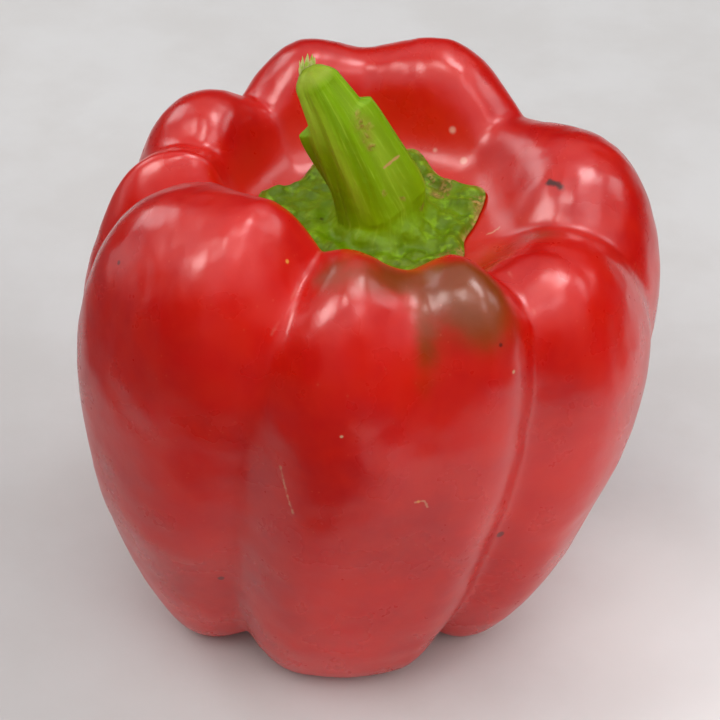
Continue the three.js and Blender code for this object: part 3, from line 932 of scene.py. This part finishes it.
# Ground: pale round the pepper, with a painted pool of light and a painted glow on its right and painted
# shadow on its left, and darker farther out, past edges and in a patch of painted shade in front. Each is
# given by its azimuth and its distance in millimetres.
GROUND_REACH = 4
GROUND_EDGES = [(225, 114), (185, 118), (300, 195), (345, 170)]
GROUND_EDGE_SOFTNESS = 12
GROUND_SHADOW_PATCH = (254, 137)
GROUND_SHADOW_PATCH_RADIUS = 62
GROUND_SHADOW_PATCH_SOFTNESS = 14
GROUND_LIGHT_POOL = (325, 60)
GROUND_LIGHT_POOL_SOFTNESS = 34
GROUND_BOUNCE_GLOW = (350, 36)
GROUND_BOUNCE_GLOW_REACH = (28, 6)
GROUND_BOUNCE_GLOW_STRENGTH = 0.15
GROUND_SHADOW_LINE = (203, 42)
GROUND_SHADOW_LINE_SOFTNESS = 36
GROUND_PALE = srgb(208, 207, 206)
GROUND_SHADE = srgb(202, 200, 198)
GROUND_SHADOW_GREY = srgb(176, 174, 173)
GROUND_DARK = srgb(70, 69, 68)
GROUND_BRIGHT = srgb(250, 249, 248)
GROUND_BUMP = 0.05


def past(look, azimuth, distance, softness):
    """1 past a line on the floor that faces an azimuth at a distance, and 0 on the pepper's side of it."""
    outwards = look.vector("DOT_PRODUCT", look.place, direction(azimuth, 0))
    return look.steps(outwards, (distance - softness) * MM, (distance + softness) * MM)


def within(look, azimuth, distance, outer, inner):
    """1 inside a round area on the floor, fading out from its inner to its outer radius."""
    centre = direction(azimuth, 0) * distance * MM
    away = look.vector("DISTANCE", look.place, centre)
    return look.steps(away, outer * MM, inner * MM)


def make_floor():
    mesh = bpy.data.meshes.new("floor")
    corners = [(x * GROUND_REACH, y * GROUND_REACH, 0) for x, y in ((-1, -1), (1, -1), (1, 1), (-1, 1))]
    mesh.from_pydata(corners, [], [(0, 1, 2, 3)])
    floor = bpy.data.objects.new("floor", mesh)
    bpy.context.scene.collection.objects.link(floor)
    look = Look("floor_plain")
    blotches = look.steps(look.noise(30, 5), 0.35, 0.65)
    colour = look.mix(blotches, GROUND_PALE, GROUND_SHADE)
    # Painted pool of light: brighter past a line on the pepper's right
    colour = look.mix(past(look, *GROUND_LIGHT_POOL, GROUND_LIGHT_POOL_SOFTNESS), colour, GROUND_BRIGHT)
    # Painted shadow: greyer past a line on the pepper's left
    colour = look.mix(look.times(past(look, *GROUND_SHADOW_LINE, GROUND_SHADOW_LINE_SOFTNESS), 0.6), colour, GROUND_SHADOW_GREY)
    for azimuth, distance in GROUND_EDGES:
        colour = look.mix(past(look, azimuth, distance, GROUND_EDGE_SOFTNESS), colour, GROUND_DARK)
    # Painted shade: a dark round patch in front of the pepper
    outer = GROUND_SHADOW_PATCH_RADIUS + GROUND_SHADOW_PATCH_SOFTNESS
    inner = GROUND_SHADOW_PATCH_RADIUS - GROUND_SHADOW_PATCH_SOFTNESS
    colour = look.mix(within(look, *GROUND_SHADOW_PATCH, outer, inner), colour, GROUND_DARK)
    look.bumps((look.noise(3, 4), GROUND_BUMP))
    # Painted light: the floor glows faintly beside the pepper on its right, as bounced light
    painted_glow = look.times(within(look, *GROUND_BOUNCE_GLOW, *GROUND_BOUNCE_GLOW_REACH), GROUND_BOUNCE_GLOW_STRENGTH)
    look.finish(
        floor,
        Base_Color=colour,
        Roughness=0.7,
        Emission_Color=GROUND_BRIGHT,
        Emission_Strength=painted_glow,
    )


# Camera, in degrees and millimetres. Its axis passes the aim point a little to the right and above.
AIM = Vector((-0.3, 2.9, 38)) * MM
CAMERA_ELEVATION = 38
CAMERA_DISTANCE = 400
CAMERA_LENS = 130
SENSOR_WIDTH = 36
CAMERA_OFFSET = (-1.54, 0.77)

# Area lights: azimuth and elevation they come from, distance and size in metres, power and colour.
# The windows only show as highlights on the surfaces, and the fills only light them.
LIGHTS = [
    ("right_low", 17, 39, 1.0, 0.32, 1.1, (0.98, 0.98, 1.0)),
    ("back_low", 136, 27, 1.0, 0.38, 1.6, (0.98, 0.98, 1.0)),
    ("left_low", 165, 11, 1.0, 0.45, 0.7, (0.98, 0.98, 1.0)),
]
WINDOWS = [
    ("left_window", 190, 51, 1.0, 0.36, 4.2, (1.0, 0.98, 0.96)),
    ("high_window", 222, 78, 1.0, 0.2, 1.6, (1.0, 0.98, 0.96)),
    ("top_window", 35, 71, 1.0, 0.28, 3.2, (0.98, 0.98, 1.0)),
    ("right_window", 318, 63, 1.0, 0.3, 1.0, (0.98, 0.98, 1.0)),
]
FILLS = [
    ("right_fill", 325, 26, 1.2, 0.9, 4.6, (1.0, 0.99, 0.98)),
    ("front_fill", 262, 14, 1.2, 0.9, 2.5, (1.0, 0.99, 0.98)),
    ("top_fill", 240, 66, 1.2, 0.9, 7.0, (1.0, 0.99, 0.98)),
]

# Room overhead: its brightness at the top and at the horizon, the sines of the elevations between which
# it changes, and a dark patch, with the angles from its middle at which it starts to fade and ends
SKY_TOP = (0.92, 0.92, 0.94, 1)
SKY_HORIZON = (0.025, 0.025, 0.025, 1)
SKY_RISE = (0.38, 0.85)
SKY_SHADE = (208, 72)
SKY_SHADE_REACH = (13, 30)


def direction(azimuth, elevation):
    a = math.radians(azimuth)
    e = math.radians(elevation)
    return Vector((math.cos(a) * math.cos(e), math.sin(a) * math.cos(e), math.sin(e)))


def make_light(name, azimuth, elevation, distance, size, power, colour):
    data = bpy.data.lights.new(name, "AREA")
    data.shape = "SQUARE"
    data.size = size
    data.energy = power
    data.color = colour
    light = bpy.data.objects.new(name, data)
    light.location = AIM + direction(azimuth, elevation) * distance
    light.rotation_euler = (AIM - light.location).to_track_quat("-Z", "Y").to_euler()
    bpy.context.scene.collection.objects.link(light)
    return light


def make_sky():
    """A dim room: darker towards the horizon, brighter overhead, with a dark patch on one side."""
    world = bpy.data.worlds.new("room")
    world.use_nodes = True
    tree = world.node_tree
    towards = add_node(tree, "ShaderNodeTexCoord", {}, "Generated")
    height = add_node(tree, "ShaderNodeSeparateXYZ", {0: towards}, "Z")
    inputs = {"Value": height, "From Min": SKY_RISE[0], "From Max": SKY_RISE[1]}
    rise = add_node(tree, "ShaderNodeMapRange", inputs, 0)
    inputs = {0: towards, 1: direction(*SKY_SHADE)}
    closeness = add_node(tree, "ShaderNodeVectorMath", inputs, "Value", operation="DOT_PRODUCT")
    inner, outer = (math.cos(math.radians(angle)) for angle in SKY_SHADE_REACH)
    inputs = {"Value": closeness, "From Min": inner, "From Max": outer}
    unshaded = add_node(tree, "ShaderNodeMapRange", inputs, 0)
    share = add_node(tree, "ShaderNodeMath", {0: rise, 1: unshaded}, 0, operation="MULTIPLY")
    inputs = {0: share, 6: SKY_HORIZON, 7: SKY_TOP}
    colour = add_node(tree, "ShaderNodeMix", inputs, 2, data_type="RGBA")
    set_socket(tree, tree.nodes["Background"].inputs["Color"], colour)
    bpy.context.scene.world = world


def make_camera():
    data = bpy.data.cameras.new("camera")
    data.lens = CAMERA_LENS
    data.sensor_width = SENSOR_WIDTH
    camera = bpy.data.objects.new("camera", data)
    towards = direction(270, CAMERA_ELEVATION)
    up = direction(90, 90 - CAMERA_ELEVATION)
    right, raised = CAMERA_OFFSET
    aim = AIM + (Vector((1, 0, 0)) * right + up * raised) * MM
    camera.location = aim + towards * CAMERA_DISTANCE * MM
    camera.rotation_euler = (-towards).to_track_quat("-Z", "Y").to_euler()
    bpy.context.scene.collection.objects.link(camera)
    bpy.context.scene.camera = camera


# The whole picture
fruit, fruit_rows = make_fruit()
make_skin(fruit, fruit_rows)
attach(fruit, "root")
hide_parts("fruit")

stalk = make_stalk()
make_stalk_look(stalk)
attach(stalk, "root")
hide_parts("stalk")

fibres = make_fibres()
make_fibre_look(fibres)
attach(fibres, "root")

make_floor()
for light in LIGHTS:
    make_light(*light)
for light in WINDOWS:
    make_light(*light).visible_diffuse = False
for light in FILLS:
    make_light(*light).visible_glossy = False
make_sky()
make_camera()
bpy.context.scene.view_settings.view_transform = "Standard"
